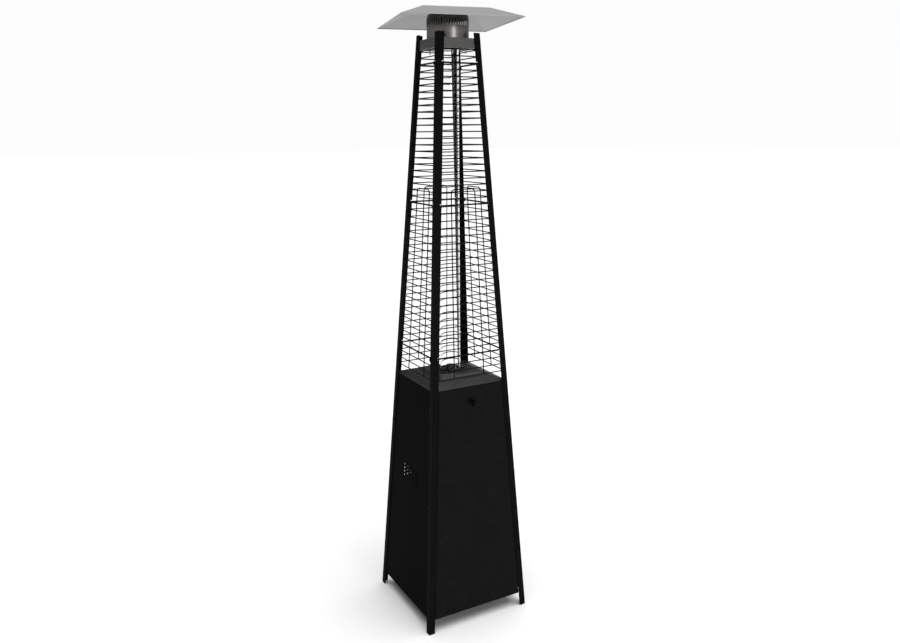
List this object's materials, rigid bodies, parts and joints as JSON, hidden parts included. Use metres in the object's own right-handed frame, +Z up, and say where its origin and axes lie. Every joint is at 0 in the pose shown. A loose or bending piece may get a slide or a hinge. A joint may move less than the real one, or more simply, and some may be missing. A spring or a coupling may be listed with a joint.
{
  "type": "outdoor gas heater",
  "caption": "Tall pyramid-shaped outdoor gas heater: a flame burns in a glass tube behind wire guards, under a square heat reflector, above a cabinet for the gas bottle.",
  "frame": {"origin": "the centre of the square that the four feet stand on, at floor level", "axes": "+Z up, -Y towards the door and its lock, +Y towards the gas controls, +X to the right of someone facing the door"},
  "size_m": [0.5038, 0.5038, 2.2701],
  "materials": {
    "black_paint": "satin black powder coat",
    "tray_paint": "textured black powder coat",
    "stainless": "brushed stainless steel",
    "reflector_alu": "mill-finish aluminium sheet",
    "zinc": "zinc-plated steel",
    "black_nickel": "black nickel plate",
    "brass": "bare brass",
    "cast_valve": "die-cast body",
    "copper": "bare copper",
    "burner_steel": "heat-tinted stainless steel",
    "glass": "clear borosilicate glass",
    "ceramic": "white ceramic insulator",
    "silicone": "high-temperature silicone",
    "black_plastic": "black moulded plastic",
    "red_plastic": "red moulded plastic"
  },
  "bodies": {
    "stand": {"leg_front_left": "black_paint", "leg_front_right": "black_paint", "leg_rear_right": "black_paint", "leg_rear_left": "black_paint", "panel_right": "black_paint", "panel_rear": "black_paint", "panel_left": "black_paint", "base_shelf": "black_paint", "bottle_ring": "black_paint", "guard_lower_front": "black_paint", "guard_lower_right": "black_paint", "guard_lower_rear": "black_paint", "guard_lower_left": "black_paint", "guard_upper_front": "black_paint", "guard_upper_right": "black_paint", "guard_upper_rear": "black_paint", "guard_upper_left": "black_paint", "tube_clips": "black_paint", "tube_seat": "tray_paint", "burner_cup": "burner_steel", "tray": "tray_paint", "tray_skirt": "tray_paint", "control_plate": "tray_paint", "top_bracket": "stainless", "neck_can": "stainless", "gas_pipe": "stainless", "hinge_bracket_left": "zinc", "hinge_bracket_right": "zinc", "reflector_spacers": "zinc", "reflector_studs": "zinc", "reflector_nuts": "zinc", "panel_screws": "zinc", "bracket_screws": "zinc", "neck_screws": "zinc", "control_screws": "zinc", "clip_screws": "zinc", "reflector": "reflector_alu", "burner_head": "burner_steel", "gas_injector": "brass", "gas_inlet": "brass", "spark_electrode": "ceramic", "flame_sensor": "copper", "glass_tube": "glass", "tube_gasket": "silicone", "gas_valve": "cast_valve", "igniter_body": "black_plastic", "tilt_switch": "black_plastic", "spark_lead": "silicone"},
    "door": {"door_panel": "black_paint", "lock_barrel": "black_nickel", "lock_nut": "zinc"},
    "lock": {"lock_plug": "black_nickel", "lock_key": "black_nickel", "lock_cam": "zinc"},
    "valve_spindle": {"valve_stem": "zinc"},
    "knob": {"control_knob": "black_plastic"},
    "igniter_push": {"igniter_button": "red_plastic"}
  },
  "joints": [
    {"name": "door_hinge", "type": "hinge", "parent": "stand", "child": "door", "pos_m": [0, -0.20656, 0.06358], "axis": [1, 0, 0], "range_deg": [0, 90]},
    {"name": "lock_turn", "type": "hinge", "parent": "door", "child": "lock", "pos_m": [0, -0.16241, 0.884], "axis": [0, -0.9981, 0.0616], "range_deg": [0, 90]},
    {"name": "valve_push", "type": "slide", "parent": "stand", "child": "valve_spindle", "axis": [0, -0.9981, -0.0616], "range_m": [0, 0.0035], "stiffness_N_per_m": 600, "springref_m": -0.002},
    {"name": "knob_turn", "type": "hinge", "parent": "valve_spindle", "child": "knob", "pos_m": [0.028, 0.1634, 0.868], "axis": [0, 0.9981, 0.0616], "range_deg": [0, 180]},
    {"name": "igniter_press", "type": "slide", "parent": "stand", "child": "igniter_push", "axis": [0, -0.9981, -0.0616], "range_m": [0, 0.006], "stiffness_N_per_m": 500, "springref_m": -0.002}
  ]
}
